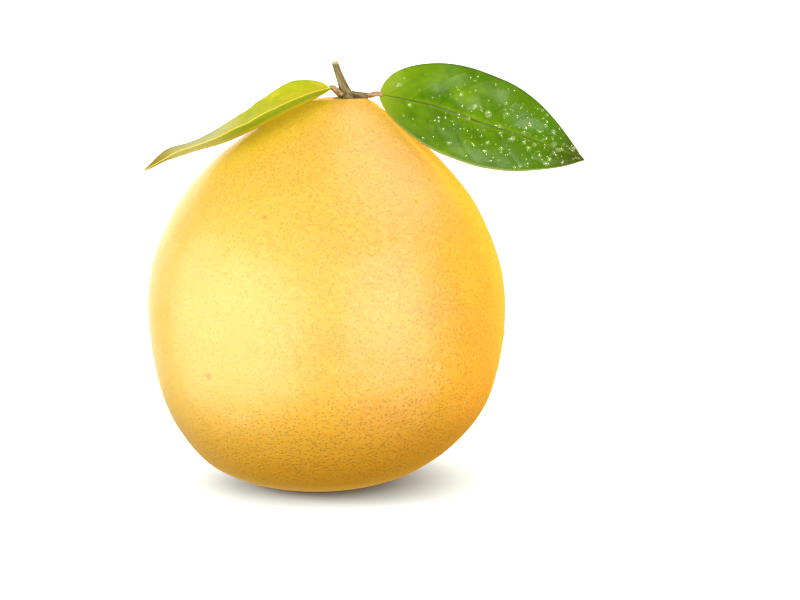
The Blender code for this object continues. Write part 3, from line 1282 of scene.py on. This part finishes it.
# Below the horizon is the table: white further out and dark in the fruit's own shade.
table_top = add(
    tree,
    "MapRange",
    {"From Min": -0.96, "From Max": -0.30, "To Min": 0.06, "To Max": 0.85},
    {"Value": axes.outputs["Z"]},
    interpolation_type="SMOOTHSTEP",
)
rise = add(
    tree,
    "MapRange",
    {"From Min": -0.12, "From Max": 0.10},
    {"Value": axes.outputs["Z"], "To Min": table_top.outputs[0]},
    interpolation_type="SMOOTHSTEP",
)
overhead = add(
    tree,
    "MapRange",
    {"From Min": 0.10, "From Max": 0.85, "To Min": 1.0, "To Max": 0.38},
    {"Value": axes.outputs["Z"]},
)
room = add(tree, "Math", links={0: around.outputs[0], 1: rise.outputs[0]}, operation="MULTIPLY")
dimmed = add(
    tree, "Math", links={0: room.outputs[0], 1: overhead.outputs[0]}, operation="MULTIPLY"
)
seen = add(tree, "LightPath").outputs["Is Camera Ray"]
strength = add(tree, "Math", links={0: dimmed.outputs[0], 1: seen}, operation="MAXIMUM")
tree.links.new(strength.outputs[0], sky.inputs["Strength"])
# A gold reflector closes the side behind the orange cheek.
toward_gold = add(tree, "VectorMath", {1: (0.8, 0.6, 0.0)}, {0: heading}, operation="DOT_PRODUCT")
gold_side = add(
    tree,
    "MapRange",
    {"From Min": 0.25, "From Max": 0.75},
    {"Value": toward_gold.outputs["Value"]},
    interpolation_type="SMOOTHSTEP",
)
wall = add(
    tree,
    "Mix",
    {6: linear("#FFFAEE"), 7: linear("#FFBC40")},
    {0: gold_side.outputs[0]},
    data_type="RGBA",
)
# Light from below has come off the fruit and the table, so it is warm.
glow = add(
    tree,
    "Mix",
    {6: linear("#FFD08A")},
    {0: rise.outputs[0], 7: wall.outputs[2]},
    data_type="RGBA",
)
tree.links.new(glow.outputs[2], sky.inputs["Color"])

FRUIT_MIDDLE = Vector((0.0045, 0.0, 0.08))


def soft_box(name, direction, distance, wide, high, radiance, colour, lit=pomelo):
    """A soft box that faces the fruit and lights the pieces of one collection."""
    light = bpy.data.lights.new(name, "AREA")
    light.shape = "RECTANGLE"
    light.size = wide
    light.size_y = high
    light.energy = math.pi * wide * high * radiance
    light.color = linear(colour)[:3]
    lamp = bpy.data.objects.new(name, light)
    way = Vector(direction).normalized()
    lamp.location = FRUIT_MIDDLE + way * distance
    lamp.rotation_euler = way.to_track_quat("Z", "Y").to_euler()
    lamp.visible_camera = False
    lamp.light_linking.receiver_collection = lit
    scene.collection.objects.link(lamp)
    return lamp


def group(name, *members):
    """A collection that a lamp can be told to light."""
    made = bpy.data.collections.new(name)
    for member in members:
        made.objects.link(member)
    return made


# Each has its direction, distance, width, height, radiance and colour, and the group it lights.
soft_box("left_soft_box", (-0.88, -0.46, -0.03), 1.1, 2.1, 1.4, 1.55, "#FFFFFF")
soft_box("right_soft_box", (0.66, -0.75, 0.04), 1.2, 1.2, 1.5, 1.62, "#FFF6F0")
soft_box("gold_card", (0.85, 0.52, 0.05), 1.0, 0.9, 1.4, 1.1, "#FFB434")
# Lamps overhead light the crown's orange side, and put a sheen on the leaves and a glint on
# the drops there.
crown = group("crown", fruit)
blades = group("blades", right_leaf, left_leaf)
beads_on_leaf = group("drops", leaf_beads)
soft_box("crown_lamp", (0.50, 0.05, 0.85), 1.0, 0.9, 0.9, 1.3, "#FFFFFF", crown)
crown_fill = soft_box("crown_fill", (-0.25, -0.45, 0.85), 1.0, 1.2, 1.2, 0.48, "#FFFFFF", crown)
crown_fill.visible_glossy = False
soft_box("leaf_lamp", (0.30, -0.36, 0.88), 1.0, 0.16, 0.16, 15.0, "#FFFFFF", blades)
soft_box("drop_lamp", (0.30, -0.36, 0.88), 1.0, 0.40, 0.40, 45.0, "#FFFFFF", beads_on_leaf)

# The white table has its own light, so that it stays white around the fruit: the whole sky
# above, and a low light that reaches in under the fruit from the left.
table = group("table", floor)
for name, direction, spread, energy in (
    ("table_sky", (0.0, 0.0, 1.0), 178.0, 30.0),
    ("table_fill", (-0.95, -0.10, 0.30), 24.0, 10.0),
):
    light = bpy.data.lights.new(name, "SUN")
    light.energy = energy
    light.angle = math.radians(spread)
    lamp = bpy.data.objects.new(name, light)
    lamp.rotation_euler = Vector(direction).to_track_quat("Z", "Y").to_euler()
    lamp.light_linking.receiver_collection = table
    scene.collection.objects.link(lamp)
